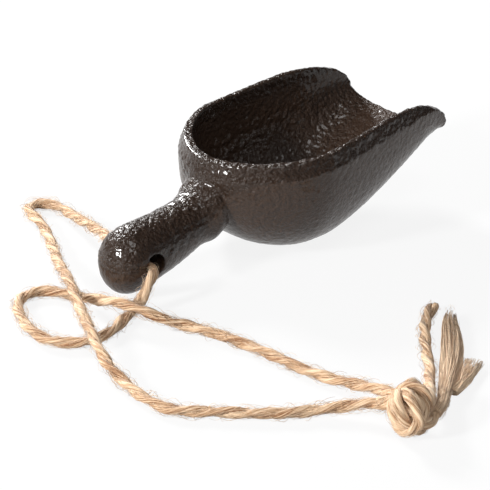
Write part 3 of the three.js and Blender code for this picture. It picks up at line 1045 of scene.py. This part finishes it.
class SCOOP_OT_knot(bpy.types.Operator):
    """Tie the overhand knot from both ends of the twine, with its two tails"""

    bl_idname = "scoop.knot"
    bl_label = "Knot and Tails"

    def execute(self, context):
        settings = context.scene.scoop_twine
        jute = jute_material(settings)
        pieces = (
            self.knot(settings, jute),
            self.cut_end(settings, jute),
            self.frayed_end(jute),
            self.split_fibres(jute),
        )
        for piece in pieces:
            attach(piece, "twine_loop")
        return {"FINISHED"}

    @staticmethod
    def knot(settings, jute):
        """Both ends wound through each other over a filling."""
        tubes = Tubes()
        sides = (
            (NEAR_ROUTE[-2], NEAR_WRAP, CUT_TAIL_ROUTE[2]),
            (FAR_ROUTE[-2], FAR_WRAP, FRAYED_TAIL_ROUTE[2]),
        )
        for index, (strand_end, wrap, tail_start) in enumerate(sides):
            wound = [from_knot(*point) for point in wrap]
            line = smooth_line([from_hole(strand_end), *wound, from_hole(tail_start)], TWINE_STEP)
            add_twine(tubes, line, settings, turn=1.1 * index, tints=(0.55, 0.75))
            add_strays(tubes, line, count=420, seed=40 + index, reach=0.0009, longest=0.007)
        filling = smooth_line([from_knot(*point) for point in KNOT_FILLING], TUFT_STEP)
        round_ends = np.sqrt(np.clip(1 - np.linspace(-0.98, 0.98, len(filling)) ** 2, 0, 1))
        tubes.add(filling, FILLING_RADIUS * round_ends, FILLING_SIDES, 0.5, **FILLING_FIBRES)
        piece = tubes.make("twine_knot_wraps", jute)
        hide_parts("twine_knot")
        return piece

    @staticmethod
    def cut_end(settings, jute):
        """The tail that was cut, a little loosened and fuzzy at its end."""
        tubes = Tubes()
        line = route(CUT_TAIL_ROUTE[2:], TWINE_STEP)
        add_twine(tubes, line, settings, tints=(0.6, 0.85), lay=np.linspace(1.0, 1.3, len(line)))
        add_strays(tubes, line, count=330, seed=50)
        tip = route(CUT_TAIL_ROUTE[-3:], TWINE_STEP)
        add_tuft(tubes, tip, count=40, seed=51, spreads=(0.0008, 0.0014), thickness=0.0007)
        piece = tubes.make("twine_cut_end", jute)
        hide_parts("twine_cut_tail")
        return piece

    @staticmethod
    def frayed_end(jute):
        """The tail that has come apart into a tuft."""
        tubes = Tubes()
        line = route(FRAYED_TAIL_ROUTE, TUFT_STEP)
        spreads = (0.0012, 0.0013, 0.0018, 0.0027, 0.0029, 0.0023, 0.0011)
        add_tuft(tubes, line, count=420, seed=60, spreads=spreads, thickness=0.0012)
        add_strays(tubes, line, count=160, seed=61, radius=0.0019, reach=0.001)
        piece = tubes.make("twine_frayed_end", jute)
        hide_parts("twine_frayed_tail")
        return piece

    @staticmethod
    def split_fibres(jute):
        """The ply that splays from the frayed tail."""
        tubes = Tubes()
        line = route(SPLIT_PLY_ROUTE, TUFT_STEP)
        spreads = (0.0014, 0.0022, 0.0029)
        add_tuft(tubes, line, count=170, seed=70, spreads=spreads, thickness=0.0009)
        piece = tubes.make("twine_split_fibres", jute)
        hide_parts("twine_split_ply")
        return piece


class SCOOP_OT_twine(bpy.types.Operator):
    """Lay the two strands of jute twine from the hanging hole to the knot"""

    bl_idname = "scoop.twine"
    bl_label = "Twine"

    def execute(self, context):
        settings = context.scene.scoop_twine
        jute = bpy.data.materials["jute"]
        sides = (
            ("near", NEAR_ROUTE, ("twine_near_lead", "twine_near_strand", "twine_hole_run"), TAILS),
            ("far", FAR_ROUTE, ("twine_far_lead", "twine_far_strand"), ("twine_knot_wraps",)),
        )
        for index, (side, points, nodes, with_pieces) in enumerate(sides):
            line = route(points, TWINE_STEP)
            places = lengths_along(line)
            length = places[-1]
            lay = 1 + LOOSER_LAY * smoothstep(np.sin(places * LOOSER_LAY_RATE + index) - LOOSER_LAY_START)
            tubes = Tubes()
            add_twine(tubes, line, settings, turn=0.6 * index, lay=lay)
            add_strays(tubes, line, int(length * settings.stray_per_metre), seed=10 + index)
            piece = tubes.make(f"twine_{side}_side", jute)
            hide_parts(*nodes)
            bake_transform(piece)
        return {"FINISHED"}


class SCOOP_OT_casting(bpy.types.Operator):
    """Cast the scoop in iron"""

    bl_idname = "scoop.casting"
    bl_label = "Casting"

    def execute(self, context):
        settings = context.scene.scoop_casting
        shape = ScoopShape(settings)
        mesh = casting_mesh(shape)
        finish_casting(mesh, shape)
        mesh.materials.clear()
        mesh.materials.append(iron_material(settings))
        made = bpy.data.objects.new("iron_scoop", mesh)
        context.scene.collection.objects.link(made)
        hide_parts("scoop_casting")
        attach(made, "scoop")
        return {"FINISHED"}


class SCOOP_OT_stage(bpy.types.Operator):
    """Set up the pale floor and the soft lamps"""

    bl_idname = "scoop.stage"
    bl_label = "Stage"

    def execute(self, context):
        settings = context.scene.scoop_stage
        half = settings.floor_size / 2
        mesh = bpy.data.meshes.new("floor")
        corners = [(-half, -half, 0), (half, -half, 0), (half, half, 0), (-half, half, 0)]
        mesh.from_pydata(corners, [], [(0, 1, 2, 3)])
        floor = bpy.data.objects.new("floor", mesh)
        context.scene.collection.objects.link(floor)
        mesh.materials.append(self.floor_material())
        for name, (power, place, size) in LAMPS.items():
            self.lamp(context, name, getattr(settings, power), place, size)
        self.surroundings(context)
        context.scene.view_settings.view_transform = "Standard"
        return {"FINISHED"}

    @staticmethod
    def floor_material():
        """White for the camera and for reflections, while it keeps the scoop's shadow."""
        material, nodes, links, shader = new_material("floor", 0.9)
        shader.inputs["Base Color"].default_value = (0.7, 0.7, 0.7, 1)
        shader.inputs["Specular IOR Level"].default_value = 0.0
        white = add_node(nodes, "ShaderNodeEmission", {"Color": (1, 1, 1, 1), "Strength": 1.0})
        ray = add_node(nodes, "ShaderNodeLightPath")
        seen = add_node(nodes, "ShaderNodeMath", operation="MAXIMUM")
        share = add_node(nodes, "ShaderNodeMath", {1: FLOOR_WHITE}, operation="MULTIPLY")
        mix = add_node(nodes, "ShaderNodeMixShader")
        links.new(ray.outputs["Is Camera Ray"], seen.inputs[0])
        links.new(ray.outputs["Is Glossy Ray"], seen.inputs[1])
        links.new(seen.outputs[0], share.inputs[0])
        links.new(share.outputs[0], mix.inputs[0])
        links.new(shader.outputs[0], mix.inputs[1])
        links.new(white.outputs[0], mix.inputs[2])
        links.new(mix.outputs[0], nodes["Material Output"].inputs["Surface"])
        return material

    @staticmethod
    def lamp(context, name, power, place, size):
        """A square lamp that faces the origin."""
        light = bpy.data.lights.new(name, "AREA")
        light.energy = power
        light.size = size
        made = bpy.data.objects.new(name, light)
        made.location = place
        made.rotation_euler = (-Vector(place)).to_track_quat("-Z", "Y").to_euler()
        context.scene.collection.objects.link(made)

    @staticmethod
    def surroundings(context):
        """A dim pale room that the camera sees as white."""
        world = bpy.data.worlds.new("room")
        world.use_nodes = True
        nodes, links = world.node_tree.nodes, world.node_tree.links
        room = nodes["Background"]
        room.inputs["Color"].default_value = (0.93, 0.96, 1.0, 1)
        room.inputs["Strength"].default_value = 0.1
        white = add_node(nodes, "ShaderNodeBackground", {"Color": (1, 1, 1, 1), "Strength": 1.0})
        ray = add_node(nodes, "ShaderNodeLightPath")
        mix = add_node(nodes, "ShaderNodeMixShader")
        links.new(ray.outputs["Is Camera Ray"], mix.inputs[0])
        links.new(room.outputs[0], mix.inputs[1])
        links.new(white.outputs[0], mix.inputs[2])
        links.new(mix.outputs[0], nodes["World Output"].inputs["Surface"])
        context.scene.world = world


OPERATORS = (SCOOP_OT_camera, SCOOP_OT_knot, SCOOP_OT_twine, SCOOP_OT_casting, SCOOP_OT_stage)


class SCOOP_PT_panel(bpy.types.Panel):
    """Lists the scoop's pieces"""

    bl_idname = "SCOOP_PT_panel"
    bl_label = "Cast Iron Scoop"
    bl_space_type = "VIEW_3D"
    bl_region_type = "UI"
    bl_category = "Scoop"

    def draw(self, context):
        for operator in OPERATORS:
            self.layout.operator(operator.bl_idname)
        for name in SETTINGS:
            settings = getattr(context.scene, name)
            box = self.layout.box()
            for key in settings.__annotations__:
                box.prop(settings, key)


SETTINGS = {
    "scoop_casting": CastingSettings,
    "scoop_twine": TwineSettings,
    "scoop_stage": StageSettings,
}


def register():
    for group in SETTINGS.values():
        bpy.utils.register_class(group)
    for name, group in SETTINGS.items():
        setattr(bpy.types.Scene, name, PointerProperty(type=group))
    for operator in OPERATORS:
        bpy.utils.register_class(operator)
    bpy.utils.register_class(SCOOP_PT_panel)


def unregister():
    bpy.utils.unregister_class(SCOOP_PT_panel)
    for operator in reversed(OPERATORS):
        bpy.utils.unregister_class(operator)
    for name, group in SETTINGS.items():
        delattr(bpy.types.Scene, name)
        bpy.utils.unregister_class(group)


def main():
    register()
    bpy.ops.scoop.camera()
    bpy.ops.scoop.knot()
    bpy.ops.scoop.twine()
    bpy.ops.scoop.casting()
    bpy.ops.scoop.stage()


if __name__ == "__main__":
    main()
